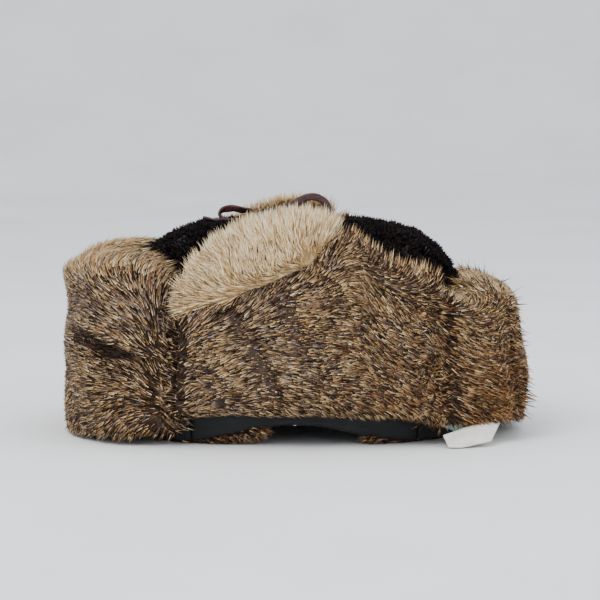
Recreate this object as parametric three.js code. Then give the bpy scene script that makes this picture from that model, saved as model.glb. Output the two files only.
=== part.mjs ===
// A rabbit-fur trapper hat with its flaps folded up and its laces tied in a bow over the crown.
// Millimetres, +Z up. The wearer faces -X and the left ear flap is on the -Y side. The origin is on
// the surface that the hat stands on, under the middle of the crown.
import * as THREE from "three";
import { mergeVertices } from "three/addons/utils/BufferGeometryUtils.js";

// ---------------------------------------------------------------- driving dimensions
const CROWN_LENGTH = 220; // outside, front to back at the rim
const CROWN_WIDTH = 180;
const CROWN_HEIGHT = 133;
const PLAN_POWER = 2.6; // superellipse power of the plan outline: 2 is an ellipse
const DOME_POWER = 4; // superellipse power of the side profile: steep sides, flat top
const GAP = 0.4; // between neighbouring pieces

const SHELL_THICKNESS = 8; // sheared fur and its skin
const LINING_THICKNESS = 3; // quilted satin
const BAND_THICKNESS = 1.5; // sweatband
const BAND_HEIGHT = 32;
const HEM_HEIGHT = 14;
const HEM_ARCH = 12; // the rim rises this much over the ears
const HEM_ARCH_REACH = 75; // and lies flat beyond this distance from the middle

const BACKING_OFFSET = 2.5; // from the crown to the flaps' leather backing
const BACKING_THICKNESS = 2.5;
const PILE_GAP = 0.9; // between the backing and the fur
const EAR_PILE = 18; // fur thickness on the ear flaps
const CORNER_PILE = 25;
const NAPE_PILE = 31;
const VISOR_PILE = 31;
const EDGE_PILE = 4; // fur thickness at a flap's edge
const EDGE_ROUNDING = 14; // the pile thins over this distance from an edge
const SEAM_HALF_GAP = 0.4;

const EAR_FRONT = -64; // the ear flap's fold runs from here
const EAR_BACK = 76; // to here
const EAR_COLUMNS = 14; // the ear flap is made of this many strips along its length
const TIP_COLUMNS = 9; // and the cream tip covers this many of them, from the front
const CORNER_END = 104; // the corner panel ends and the nape flap starts here
const EAR_LENGTH = 146; // along the fold
const VISOR_LENGTH = 196;
const CORNER_LENGTH = 44;
const NAPE_LENGTH = 84;
const EAR_LEAN_HEIGHT = 165; // dome height that the ear flap's lean follows
const UPRIGHT_LEAN_HEIGHT = 230; // the same for the visor, the corners and the nape flap

const LACE_WIDTH = 5;
const LACE_THICKNESS = 1.8;
const LACE_STEPS = 60;
const TAB_LENGTH = 22;
const TAB_THICKNESS = 1.4;
const TAB_HEIGHT = 16;
const TAB_LEVEL = 127; // height of the tab's middle
const TAB_LEAN = 20; // degrees
const LABEL_THICKNESS = 0.9;

// ---------------------------------------------------------------- materials
const material = (color, roughness) => new THREE.MeshStandardMaterial({ color, roughness, metalness: 0 });
const SHEARED_FUR = material(0x1c1413, 0.9);
const BROWN_FUR = material(0x7a6350, 0.85);
const CREAM_FUR = material(0xd9c49c, 0.85);
const SUEDE = material(0x3a2822, 0.8);
const SATIN = material(0x111113, 0.45);
const BAND_CLOTH = material(0x0f1012, 0.6);
const LACE_LEATHER = material(0x3b1c1c, 0.5);
const LABEL_WHITE = material(0xe9e4d8, 0.6);
const LABEL_MINT = material(0xb9d6cb, 0.6);

// ---------------------------------------------------------------- shape helpers
const clamp = (value, low, high) => Math.min(high, Math.max(low, value));
const mix = (a, b, t) => a + (b - a) * t;
const radians = THREE.MathUtils.degToRad;

// Linear interpolation through [position, value] stations.
function along(stations, at) {
  const last = stations.length - 1;
  if (at <= stations[0][0]) return stations[0][1];
  for (let i = 1; i <= last; i++) {
    const [x0, v0] = stations[i - 1];
    const [x1, v1] = stations[i];
    if (at <= x1) return mix(v0, v1, (at - x0) / (x1 - x0));
  }
  return stations[last][1];
}

// Half-width of the plan outline at x, for a crown grown outwards by offset.
function planHalfWidth(x, offset) {
  const share = clamp(Math.abs(x) / (CROWN_LENGTH / 2 + offset), 0, 1);
  return (CROWN_WIDTH / 2 + offset) * (1 - share ** PLAN_POWER) ** (1 / PLAN_POWER);
}

// Point of the plan outline at an azimuth from +X, as a superellipse.
function planPoint(azimuth, offset) {
  const cos = Math.cos(azimuth);
  const sin = Math.sin(azimuth);
  const a = CROWN_LENGTH / 2 + offset;
  const b = CROWN_WIDTH / 2 + offset;
  const reach = (Math.abs(cos / a) ** PLAN_POWER + Math.abs(sin / b) ** PLAN_POWER) ** (-1 / PLAN_POWER);
  return new THREE.Vector2(cos * reach, sin * reach);
}

// How far the side profile has drawn in at height z: 1 at the rim, 0 at the top.
const profile = (z, height) => (1 - clamp(z / height, 0, 1) ** DOME_POWER) ** (1 / DOME_POWER);

// Underside of the rim: flat at the front and back, raised over the ears.
function hemBottom(x) {
  const share = clamp(Math.abs(x) / HEM_ARCH_REACH, 0, 1);
  return (HEM_ARCH * (1 + Math.cos(Math.PI * share))) / 2;
}

// Welds equal vertices, drops collapsed triangles and turns the faces outwards.
function closedSolid(positions, triangles) {
  const loose = new THREE.BufferGeometry();
  loose.setAttribute("position", new THREE.Float32BufferAttribute(positions, 3));
  loose.setIndex(triangles);
  const welded = mergeVertices(loose, 1e-3);
  const index = Array.from(welded.index.array);
  const kept = [];
  let volume = 0;
  const corner = [new THREE.Vector3(), new THREE.Vector3(), new THREE.Vector3()];
  for (let i = 0; i < index.length; i += 3) {
    const [a, b, c] = index.slice(i, i + 3);
    if (a === b || b === c || c === a) continue;
    kept.push(a, b, c);
    [a, b, c].forEach((v, k) => corner[k].fromBufferAttribute(welded.attributes.position, v));
    volume += corner[0].dot(corner[1].clone().cross(corner[2]));
  }
  welded.setIndex(volume < 0 ? kept.reverse() : kept);
  welded.computeVertexNormals();
  return welded;
}

// A closed slab between two surfaces, each a function of (u, v) from 0 to 1.
function slab(columns, rows, outer, inner) {
  const positions = [];
  const triangles = [];
  const at = (side, i, j) => (side * (columns + 1) + i) * (rows + 1) + j;
  for (const surface of [outer, inner]) {
    for (let i = 0; i <= columns; i++) {
      for (let j = 0; j <= rows; j++) positions.push(...surface(i / columns, j / rows).toArray());
    }
  }
  const quad = (a, b, c, d) => triangles.push(a, b, c, a, c, d);
  for (let i = 0; i < columns; i++) {
    for (let j = 0; j < rows; j++) {
      quad(at(0, i, j), at(0, i + 1, j), at(0, i + 1, j + 1), at(0, i, j + 1));
      quad(at(1, i, j), at(1, i, j + 1), at(1, i + 1, j + 1), at(1, i + 1, j));
    }
    quad(at(0, i, 0), at(1, i, 0), at(1, i + 1, 0), at(0, i + 1, 0));
    quad(at(0, i, rows), at(0, i + 1, rows), at(1, i + 1, rows), at(1, i, rows));
  }
  for (let j = 0; j < rows; j++) {
    quad(at(0, 0, j), at(0, 0, j + 1), at(1, 0, j + 1), at(1, 0, j));
    quad(at(0, columns, j), at(1, columns, j), at(1, columns, j + 1), at(0, columns, j + 1));
  }
  return closedSolid(positions, triangles);
}

// A closed ring: section(azimuth) gives the corners of its cross-section.
function ring(steps, section) {
  const sections = Array.from({ length: steps }, (_, i) => section((i / steps) * 2 * Math.PI));
  const count = sections[0].length;
  const triangles = [];
  for (let i = 0; i < steps; i++) {
    const here = i * count;
    const next = ((i + 1) % steps) * count;
    for (let k = 0; k < count; k++) {
      const above = (k + 1) % count;
      triangles.push(here + k, next + k, next + above, here + k, next + above, here + above);
    }
  }
  return closedSolid(sections.flat().flatMap((point) => point.toArray()), triangles);
}

const hat = new THREE.Group();

function add(name, geometry, look) {
  const mesh = new THREE.Mesh(geometry, look);
  mesh.name = name;
  hat.add(mesh);
}

// ---------------------------------------------------------------- crown and lining
const GORE_COLUMNS = 8;
const GORE_ROWS = 8;

// One of four gores, between seams on the diagonals, from just above the hem to the top.
function gore(middle, offset, thickness) {
  const surface = (depth) => (u, v) => {
    const azimuth = middle + mix(-Math.PI / 4, Math.PI / 4, u);
    const rise = (v * Math.PI) / 2;
    const plan = planPoint(azimuth, offset - depth);
    const draw = Math.cos(rise) ** (2 / DOME_POWER);
    const base = hemBottom(plan.x) + HEM_HEIGHT + GAP;
    const height = CROWN_HEIGHT + offset - depth;
    const z = mix(base, height, Math.sin(rise) ** (2 / DOME_POWER));
    return new THREE.Vector3(
      plan.x * (v < 1 ? draw : 0) + GAP * Math.cos(middle),
      plan.y * (v < 1 ? draw : 0) + GAP * Math.sin(middle),
      z,
    );
  };
  return slab(GORE_COLUMNS, GORE_ROWS, surface(0), surface(thickness));
}

const GORES = { back: 0, right: 90, front: 180, left: 270 };
for (const [side, angle] of Object.entries(GORES)) {
  add(`crown_${side}`, gore(radians(angle), 0, SHELL_THICKNESS), SHEARED_FUR);
  add(`lining_${side}`, gore(radians(angle), -SHELL_THICKNESS - GAP, LINING_THICKNESS), SATIN);
}

// ---------------------------------------------------------------- rim
const LINING_FACE = -SHELL_THICKNESS - GAP - LINING_THICKNESS; // offset of the lining's inner face

// A band that follows the rim, between two offsets and two heights above the rim's underside.
function rimBand(outerOffset, innerOffset, from, to) {
  return ring(4 * GORE_COLUMNS, (azimuth) => {
    const outside = planPoint(azimuth, outerOffset);
    const inside = planPoint(azimuth, innerOffset);
    const outsideBase = hemBottom(outside.x);
    const insideBase = hemBottom(inside.x);
    return [
      new THREE.Vector3(outside.x, outside.y, outsideBase + from),
      new THREE.Vector3(outside.x, outside.y, outsideBase + to),
      new THREE.Vector3(inside.x, inside.y, insideBase + to),
      new THREE.Vector3(inside.x, inside.y, insideBase + from),
    ];
  });
}
add("hem_binding", rimBand(0, LINING_FACE, 0, HEM_HEIGHT), BAND_CLOTH);
const BAND_FACE = LINING_FACE - 1;
add("sweatband", rimBand(BAND_FACE, BAND_FACE - BAND_THICKNESS, 1, BAND_HEIGHT), BAND_CLOTH);

// ---------------------------------------------------------------- flaps
// A flap is a patch wrapped round the crown. plan(u, offset) is its line in plan, bottom(u) and top(u)
// its edges, and lean the dome height that it leans in with.
function flapPoint(flap, u, z, offset) {
  const plan = flap.plan(u, offset);
  const draw = profile(z, flap.lean);
  return new THREE.Vector3(plan.x * draw, plan.y * draw, z);
}

// A patch of the flap between two offsets; the outer one can vary with u and v.
function flapSlab(flap, columns, rows, innerOffset, outerOffset, bottom = flap.bottom, top = flap.top) {
  const surface = (offsetAt) => (u, v) => flapPoint(flap, u, mix(bottom(u), top(u), v), offsetAt(u, v));
  return slab(columns, rows, surface(outerOffset), surface(() => innerOffset));
}

// Fur thickness that rounds off towards the edges marked open: [start, end, bottom, top].
function pileThickness(flap, full, edges, length, bottom = flap.bottom, top = flap.top) {
  return (u, v) => {
    const height = top(u) - bottom(u);
    const distances = [u * length, (1 - u) * length, v * height, (1 - v) * height];
    const shares = distances.map((d, k) => (edges[k] ? clamp(d / EDGE_ROUNDING, 0, 1) : 1));
    const round = shares.reduce((product, share) => product * Math.sqrt(1 - (1 - share) ** 2), 1);
    return PILE_BASE + mix(EDGE_PILE, full, round);
  };
}

const PILE_BASE = BACKING_OFFSET + BACKING_THICKNESS + PILE_GAP;
const backingOuter = () => BACKING_OFFSET + BACKING_THICKNESS;

// A line in plan along the side of the crown, side -1 for the left and 1 for the right.
const sidePlan = (from, to, side) => (u, offset) => {
  const x = mix(from, to, u);
  return new THREE.Vector2(
    (x * (CROWN_LENGTH / 2 + offset)) / (CROWN_LENGTH / 2 + BACKING_OFFSET),
    side * planHalfWidth(x, BACKING_OFFSET) * (1 + (offset - BACKING_OFFSET) / (CROWN_WIDTH / 2)),
  );
};

// A line in plan round the front or back of the crown, between two azimuths in radians.
const roundPlan = (from, to) => (u, offset) => planPoint(mix(from, to, u), offset);

// Azimuth at which the plan outline, at the backing, has this x; on the +Y side.
const azimuthAt = (x) => Math.atan2(planHalfWidth(x, BACKING_OFFSET), x);

// Ear flaps: top edge as [distance back from the middle, height], read on the flap itself.
const EAR_TOP = [
  [-64, 84],
  [-62, 98],
  [-58, 107],
  [-52, 114],
  [-44, 123],
  [-31, 131],
  [-14, 137],
  [3, 139],
  [20, 136],
  [30, 128],
  [42, 116],
  [56, 106],
  [76, 100],
];
// The seam between the brown panel and the cream tip runs up towards the back.
const EAR_SEAM = [
  [-64, 80],
  [-31, 91],
  [-7, 103],
  [8, 110],
  [20, 124],
  [34, 129],
];
const earX = (u) => mix(EAR_FRONT, EAR_BACK, u);
const earSeam = (u) => along(EAR_SEAM, earX(u));
const earTop = (u) => along(EAR_TOP, earX(u));
const earBottom = (u) => 16 + 8 * (1 - Math.abs(earX(u) / EAR_BACK) ** 4);

function earFlap(name, side) {
  const flap = {
    plan: sidePlan(EAR_FRONT, EAR_BACK, side),
    bottom: earBottom,
    top: earTop,
    lean: EAR_LEAN_HEIGHT,
  };
  const mainTop = (u) => Math.min(earTop(u), earSeam(u) - SEAM_HALF_GAP);
  add(
    `${name}_ear_fur`,
    flapSlab(
      flap,
      EAR_COLUMNS,
      7,
      PILE_BASE,
      pileThickness(flap, EAR_PILE, [1, 1, 1, 0], EAR_LENGTH, earBottom, mainTop),
      earBottom,
      mainTop,
    ),
    BROWN_FUR,
  );
  const alongTip = (u) => (u * TIP_COLUMNS) / EAR_COLUMNS;
  const tip = { ...flap, plan: (u, offset) => flap.plan(alongTip(u), offset) };
  const tipBottom = (u) => earSeam(alongTip(u)) + SEAM_HALF_GAP;
  const tipTop = (u) => Math.max(earTop(alongTip(u)), tipBottom(u) + 2);
  const tipLength = (EAR_LENGTH * TIP_COLUMNS) / EAR_COLUMNS;
  add(
    `${name}_ear_tip_fur`,
    flapSlab(
      tip,
      TIP_COLUMNS,
      4,
      PILE_BASE,
      pileThickness(tip, EAR_PILE, [1, 1, 0, 1], tipLength, tipBottom, tipTop),
      tipBottom,
      tipTop,
    ),
    CREAM_FUR,
  );
  add(`${name}_ear_backing`, flapSlab(flap, EAR_COLUMNS, 7, BACKING_OFFSET, backingOuter), SUEDE);
}

// From straight ahead to the visor's ends, and from straight behind to the nape flap's.
const FRONT_HALF_TURN = Math.PI - azimuthAt(EAR_FRONT - 1);
const NAPE_HALF_TURN = azimuthAt(CORNER_END + 0.5);
// Height of the visor against the share of the way from straight ahead to its ends.
const VISOR_TOP = [
  [0, 118],
  [0.6, 118],
  [0.75, 116],
  [0.85, 112],
  [0.92, 100],
  [0.96, 86],
  [1, 66],
];
const awayFromMiddle = (u) => Math.abs(2 * u - 1);

const visor = {
  plan: roundPlan(Math.PI - FRONT_HALF_TURN, Math.PI + FRONT_HALF_TURN),
  bottom: (u) => 3 + 11 * awayFromMiddle(u) ** 4,
  top: (u) => along(VISOR_TOP, awayFromMiddle(u)),
  lean: UPRIGHT_LEAN_HEIGHT,
};

const nape = {
  plan: roundPlan(-NAPE_HALF_TURN, NAPE_HALF_TURN),
  bottom: (u) => 6 + 9 * awayFromMiddle(u) ** 2,
  top: (u) => 93 + 2 * awayFromMiddle(u),
  lean: UPRIGHT_LEAN_HEIGHT,
};

// The quarter panels that join the ear flaps to the nape flap round the back corners.
function cornerPanel(name, side) {
  const start = azimuthAt(EAR_BACK + 1);
  const end = azimuthAt(CORNER_END - 0.5);
  const panel = {
    plan: roundPlan(side * start, side * end),
    bottom: () => 15,
    top: (u) => 94 - 8 * Math.sin(Math.PI * u),
    lean: UPRIGHT_LEAN_HEIGHT,
  };
  add(
    `${name}_corner_fur`,
    flapSlab(panel, 6, 6, PILE_BASE, pileThickness(panel, CORNER_PILE, [1, 1, 1, 1], CORNER_LENGTH)),
    BROWN_FUR,
  );
  add(`${name}_corner_backing`, flapSlab(panel, 6, 6, BACKING_OFFSET, backingOuter), SUEDE);
}

for (const [name, side] of [
  ["left", -1],
  ["right", 1],
]) {
  earFlap(name, side);
  cornerPanel(name, side);
}
add(
  "front_flap_fur",
  flapSlab(visor, 24, 7, PILE_BASE, pileThickness(visor, VISOR_PILE, [1, 1, 1, 1], VISOR_LENGTH)),
  BROWN_FUR,
);
add("front_flap_backing", flapSlab(visor, 24, 7, BACKING_OFFSET, backingOuter), SUEDE);
add(
  "nape_flap_fur",
  flapSlab(nape, 8, 6, PILE_BASE, pileThickness(nape, NAPE_PILE, [1, 1, 1, 1], NAPE_LENGTH)),
  BROWN_FUR,
);
add("nape_flap_backing", flapSlab(nape, 8, 6, BACKING_OFFSET, backingOuter), SUEDE);

// ---------------------------------------------------------------- laces
// Routes of the laces: from the tab over the crown, round a loop of the bow, through the knot to the end.
const LEFT_LACE = [
  [-10, -77.6, 130.5],
  [-10, -73.5, 132.3],
  [-10.5, -67, 134.4],
  [-12, -57, 136.2],
  [-13, -44, 136.8],
  [-14, -30, 137.2],
  [-14, -18, 138.2],
  [-12, -9.5, 139.6],
  [-5, -5.5, 142.4],
  [3, -4.5, 146.8],
  [11, -4.2, 149.4],
  [18, -4.2, 147],
  [21, -4.2, 141.6],
  [17.5, -4.2, 136.6],
  [9, -4.2, 134.9],
  [-2, -4.3, 134.7],
  [-14, -4.6, 134.7],
  [-27, -6, 134.7],
  [-40, -9, 134.4],
  [-51, -12, 134.4],
  [-59, -14, 136.5],
];
const RIGHT_LACE = [
  [-10, 77.6, 130.5],
  [-10, 73.5, 132.3],
  [-11, 67, 134.4],
  [-14, 57, 136.2],
  [-18, 44, 136.8],
  [-22, 30, 137.2],
  [-25, 18, 138],
  [-28, 9.5, 139],
  [-34, 5.5, 140.4],
  [-41, 4.5, 141.4],
  [-46.5, 4.2, 140.4],
  [-49, 4.2, 137.4],
  [-46, 4.2, 134.6],
  [-39, 4.2, 134.1],
  [-30, 4.3, 134.5],
  [-20, 4.5, 134.7],
  [-8, 6, 134.8],
  [4, 9, 134.8],
  [14, 12.5, 134.6],
  [22, 15.5, 134.4],
  [29, 18, 135],
];

// Leather patch on the inside of the ear flap's tip, where the lace is sewn on.
function laceTab(name, side) {
  const tab = new THREE.BoxGeometry(TAB_LENGTH, TAB_THICKNESS, TAB_HEIGHT);
  const backing = (CROWN_WIDTH / 2 + BACKING_OFFSET) * profile(TAB_LEVEL, EAR_LEAN_HEIGHT);
  tab.rotateX(side * radians(TAB_LEAN));
  tab.translate(LEFT_LACE[0][0], side * (backing - 2.6), TAB_LEVEL);
  add(`${name}_lace_tab`, tab, LACE_LEATHER);
}

// Flat thong: an eight-sided section swept along the route, starting with its width level.
function lace(route) {
  const points = route.map((point) => new THREE.Vector3(...point));
  const extrudePath = new THREE.CatmullRomCurve3(points, false, "centripetal");
  const section = new THREE.Shape();
  for (let k = 0; k < 8; k++) {
    const angle = radians(45 * k + 22.5);
    const corner = [(Math.cos(angle) * LACE_WIDTH) / 2, (Math.sin(angle) * LACE_THICKNESS) / 2];
    if (k === 0) section.moveTo(...corner);
    else section.lineTo(...corner);
  }
  section.closePath();
  return new THREE.ExtrudeGeometry(section, { steps: LACE_STEPS, extrudePath });
}

// The turn of thong that binds the bow, arched over the two strands that pass through it.
function bowKnot() {
  const middle = new THREE.Vector3(-21, 0, 133.6);
  const halfSpan = 9.5;
  const rise = 3.4;
  const surface = (thickness) => (u, v) => {
    const swing = mix(-1, 1, u);
    const lift = rise * Math.sqrt(Math.max(0, 1 - swing ** 4)) + thickness * (1 - swing ** 8);
    return new THREE.Vector3(
      middle.x + mix(-0.5, 0.5, v) * LACE_WIDTH * 1.3,
      middle.y + swing * (halfSpan + thickness),
      middle.z + lift,
    );
  };
  return slab(12, 2, surface(LACE_THICKNESS), surface(0));
}

for (const [name, side, route] of [
  ["left", -1, LEFT_LACE],
  ["right", 1, RIGHT_LACE],
]) {
  laceTab(name, side);
  add(`${name}_lace`, lace(route), LACE_LEATHER);
}
add("bow_knot", bowKnot(), LACE_LEATHER);

// ---------------------------------------------------------------- labels
// A strip of satin through pairs of points, one on its upper edge and one on its lower edge.
function strip(stations) {
  const steps = stations.length - 1;
  const edges = stations.map(([upper, lower]) => [new THREE.Vector3(...upper), new THREE.Vector3(...lower)]);
  const normals = edges.map(([upper, lower], i) => {
    const before = edges[Math.max(0, i - 1)];
    const after = edges[Math.min(steps, i + 1)];
    const onward = after[0].clone().add(after[1]).sub(before[0]).sub(before[1]);
    return lower.clone().sub(upper).cross(onward).normalize();
  });
  const face = (depth) => (u, v) => {
    const i = Math.round(u * steps);
    return edges[i][0].clone().lerp(edges[i][1], v).addScaledVector(normals[i], depth);
  };
  return slab(steps, 1, face(0), face(LABEL_THICKNESS));
}

const MAKER_LABEL = [
  [
    [104, -48.5, 12],
    [93, -61.5, 12],
  ],
  [
    [119, -62, 13.5],
    [107, -75, 8],
  ],
  [
    [128, -78, 13.6],
    [121, -96, 3.5],
  ],
  [
    [116, -85, 13.4],
    [108, -102, 1.8],
  ],
  [
    [104, -91, 11],
    [101, -105, 1.2],
  ],
  [
    [91, -98, 7.5],
    [94, -106, 1.4],
  ],
];
const SIZE_LABEL = [
  [
    [86, -68, 12.5],
    [90, -69, 10],
  ],
  [
    [97, -82, 13.6],
    [100, -84, 7.5],
  ],
  [
    [105, -81, 13.6],
    [106, -84, 7.5],
  ],
];
add("maker_label", strip(MAKER_LABEL), LABEL_WHITE);
add("size_label", strip(SIZE_LABEL), LABEL_MINT);

export default hat;
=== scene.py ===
"""A rabbit-fur trapper hat, its flaps folded up and its laces tied in a bow over the crown.

Lengths are in millimetres in the shape functions and become metres when a mesh is made. The wearer faces -X
and the left side of the hat faces the camera.
"""

import math

import bmesh
import bpy
import numpy as np
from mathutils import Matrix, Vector


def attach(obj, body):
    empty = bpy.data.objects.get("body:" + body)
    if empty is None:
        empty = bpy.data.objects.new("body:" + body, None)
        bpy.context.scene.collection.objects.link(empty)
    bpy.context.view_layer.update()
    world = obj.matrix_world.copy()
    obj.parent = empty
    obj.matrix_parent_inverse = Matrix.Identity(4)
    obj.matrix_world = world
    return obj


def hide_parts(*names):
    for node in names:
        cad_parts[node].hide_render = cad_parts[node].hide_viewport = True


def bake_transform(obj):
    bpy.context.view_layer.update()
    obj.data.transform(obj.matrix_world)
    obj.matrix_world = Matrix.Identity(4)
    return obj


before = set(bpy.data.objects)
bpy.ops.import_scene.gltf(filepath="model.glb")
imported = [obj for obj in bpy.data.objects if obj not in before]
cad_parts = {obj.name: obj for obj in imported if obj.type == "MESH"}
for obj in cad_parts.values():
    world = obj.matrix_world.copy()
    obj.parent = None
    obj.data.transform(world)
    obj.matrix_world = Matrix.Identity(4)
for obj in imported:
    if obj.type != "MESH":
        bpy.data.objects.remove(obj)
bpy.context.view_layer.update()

# ------------------------------------------------------------------ driving dimensions, as in the hat's CAD
MM = 0.001
HALF_LENGTH = 110
HALF_WIDTH = 90
CROWN_HEIGHT = 133
PLAN_POWER = 2.6
DOME_POWER = 4
SHELL_THICKNESS = 8
CROWN_HEART = np.array([0, 0, 30])  # the crown puffs outwards from here
LINING_OUTER = -8.4  # offset of the lining's outer face from the crown's
LINING_THICKNESS = 3
HEM_HEIGHT = 14
HEM_ARCH = 12
HEM_ARCH_REACH = 75
BACKING_OFFSET = 2.5
PILE_BASE = 5.9  # offset of the fur's skin side
EDGE_PILE = 3
EAR_FRONT = -64
EAR_BACK = 76
EAR_LENGTH = 146
TIP_SHARE = 9 / 14  # the cream tip covers this share of the ear flap's length, from the front
CORNER_END = 104
LACE_WIDTH = 5
LACE_THICKNESS = 1.8
EAR_TOP = [
    (-64, 84), (-62, 98), (-58, 107), (-52, 114), (-44, 123), (-31, 131), (-14, 137),
    (3, 139), (20, 136), (30, 128), (42, 116), (56, 106), (76, 100),
]
EAR_SEAM = [(-64, 80), (-31, 91), (-7, 103), (8, 110), (20, 124), (34, 129)]
VISOR_TOP = [
    (0, 106), (0.2, 109), (0.4, 114), (0.58, 116), (0.75, 112), (0.85, 106), (0.92, 97), (0.96, 86), (1, 68),
]
LEFT_LACE = [
    (-10, -77.6, 130.5), (-10, -73.5, 132.3), (-10.5, -67, 134.4), (-12, -57, 136.2), (-13, -44, 136.8),
    (-14, -30, 137.2), (-14, -18, 138.2), (-12, -9.5, 139.6), (-5, -5.5, 142.4), (3, -4.5, 146.8),
    (11, -4.2, 149.4), (18, -4.2, 147), (21, -4.2, 141.6), (17.5, -4.2, 136.6), (9, -4.2, 134.9),
    (-2, -4.3, 134.7), (-14, -4.6, 134.7), (-27, -6, 134.7), (-40, -9, 134.4), (-51, -12, 134.4),
    (-59, -14, 136.5),
]
RIGHT_LACE = [
    (-10, 77.6, 130.5), (-10, 73.5, 132.3), (-11, 67, 134.4), (-14, 57, 136.2), (-18, 44, 136.8),
    (-22, 30, 137.2), (-25, 18, 138), (-28, 9.5, 139), (-34, 5.5, 140.4), (-41, 4.5, 141.4),
    (-46.5, 4.2, 140.4), (-49, 4.2, 137.4), (-46, 4.2, 134.6), (-39, 4.2, 134.1), (-30, 4.3, 134.5),
    (-20, 4.5, 134.7), (-8, 6, 134.8), (4, 9, 134.8), (14, 12.5, 134.6), (22, 15.5, 134.4), (29, 18, 135),
]
LABEL_THICKNESS = 0.5
MAKER_LABEL = [  # (upper edge, lower edge)
    ((104, -48.5, 12), (93, -61.5, 12)), ((119, -62, 13.5), (107, -75, 8)),
    ((128, -78, 13.6), (121, -96, 3.5)), ((116, -85, 13.4), (108, -102, 1.8)),
    ((104, -91, 11), (101, -105, 1.2)), ((91, -98, 7.5), (94, -106, 1.4)),
]
SIZE_LABEL = [
    ((86, -68, 12.5), (90, -69, 10)), ((97, -82, 13.6), (100, -84, 7.5)), ((105, -81, 13.6), (106, -84, 7.5)),
]
EAR_HEM = 15
EAR_HEM_ARCH = 6
EAR_PILE = 15
EAR_LEAN = 165  # height at which a flap's curve would close over the crown
ROUND_LEAN = 230
VISOR_LENGTH = 196
VISOR_PILE = 31.5
CORNER_LENGTH = 44
CORNER_HEM = 13
CORNER_TOP = 94
CORNER_DIP = 8
NAPE_LENGTH = 84
NAPE_TOP = 93
REAR_PILE = 22
REAR_GRADE = 15  # how much thicker the rear fur is at the nape than at the ears
REAR_GRADE_REACH = 27
TALLEST_FLAP = 140
TAB_X = -10
TAB_HEIGHT = 127
TAB_TILT = 20  # degrees
TAB_HALF_WIDTH = 11
TAB_HALF_HEIGHT = 8
TAB_PROFILE = [  # (share of the way out, depth)
    (0, -0.5), (0.55, -0.55), (0.9, -0.6), (0.98, -0.5), (1, 0),
    (0.98, 0.5), (0.9, 0.6), (0.55, 0.55), (0, 0.5),
]
KNOT_X = -21
KNOT_BASE = 133.6
KNOT_HALF_SPAN = 9.5
KNOT_RISE = 3.4
KNOT_WIDTH = 6.5
CAMERA_AIM = (0.0033, 0, 0.082)  # metres, as are the next two
CAMERA_DISTANCE = 1.6
VIEW_HALF_WIDTH = 0.195
CAMERA_RISE = 5  # degrees
FLOOR_REACH = 3000  # the floor is flat this far out, then bends up
FLOOR_BEND = 1800
FLOOR_DROP = 0.2
LAMPS = {  # place and size in metres, power in watts
    "key": ((-0.7, -1.3, 1.5), 0.9, 22),
    "fill": ((1.3, -1.0, 0.8), 1.2, 6),
    "top": ((0.0, 0.1, 1.8), 1.4, 9),
}
SIDES = {"left": -1, "right": 1}


# ------------------------------------------------------------------ small helpers
def mix(a, b, t):
    return a + (b - a) * t


def clamp(value, low=0.0, high=1.0):
    return np.minimum(high, np.maximum(low, value))


def smooth(value, start, end):
    """0 before start, 1 after end and a soft step between them."""
    t = clamp((value - start) / (end - start))
    return t * t * (3 - 2 * t)


def along(stations, at):
    return np.interp(at, [s[0] for s in stations], [s[1] for s in stations])


def unit(vectors):
    return vectors / np.maximum(np.linalg.norm(vectors, axis=-1, keepdims=True), 1e-9)


def waves(points, wavelength, seed, count=9):
    """Smooth noise, mostly between -1 and 1, as a sum of plane waves of about this wavelength."""
    rng = np.random.default_rng(seed)
    directions = unit(rng.normal(size=(count, points.shape[-1])))
    directions = directions / (wavelength * rng.uniform(0.6, 1.6, (count, 1)))
    return np.sin(2 * np.pi * (points @ directions.T + rng.random(count))).sum(axis=-1) / math.sqrt(count)


def valley(x, z, line, width):
    """1 on a line of (x, z) points and falling to 0 about a width away from it."""
    nearest = np.full(np.shape(x), 1e9)
    for (x0, z0), (x1, z1) in zip(line, line[1:]):
        t = clamp(((x - x0) * (x1 - x0) + (z - z0) * (z1 - z0)) / ((x1 - x0) ** 2 + (z1 - z0) ** 2))
        nearest = np.minimum(nearest, np.hypot(x - mix(x0, x1, t), z - mix(z0, z1, t)))
    return np.exp(-((nearest / width) ** 2))


# ------------------------------------------------------------------ the hat's surfaces
def plan_half_width(x, offset):
    share = clamp(np.abs(x) / (HALF_LENGTH + offset))
    return (HALF_WIDTH + offset) * (1 - share**PLAN_POWER) ** (1 / PLAN_POWER)


def plan_point(azimuth, offset):
    cos, sin = np.cos(azimuth), np.sin(azimuth)
    spread = np.abs(cos / (HALF_LENGTH + offset)) ** PLAN_POWER
    spread = spread + np.abs(sin / (HALF_WIDTH + offset)) ** PLAN_POWER
    reach = spread ** (-1 / PLAN_POWER)
    return cos * reach, sin * reach


def azimuth_at(x):
    return math.atan2(plan_half_width(x, BACKING_OFFSET), x)


def profile(z, height):
    return (1 - clamp(z / height) ** DOME_POWER) ** (1 / DOME_POWER)


def hem_bottom(x):
    return HEM_ARCH * (1 + np.cos(np.pi * clamp(np.abs(x) / HEM_ARCH_REACH))) / 2


def dome_point(azimuth, rise, offset):
    """Point of the crown, or of a layer inside it: rise is 0 just above the hem and 1 at the top."""
    x, y = plan_point(azimuth, offset)
    angle = rise**1.8 * np.pi / 2
    draw = clamp(np.cos(angle)) ** (2 / DOME_POWER)
    z = mix(hem_bottom(x) + HEM_HEIGHT + 0.4, CROWN_HEIGHT + offset, clamp(np.sin(angle)) ** (2 / DOME_POWER))
    return np.stack([x * draw, y * draw, z], axis=-1)


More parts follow.
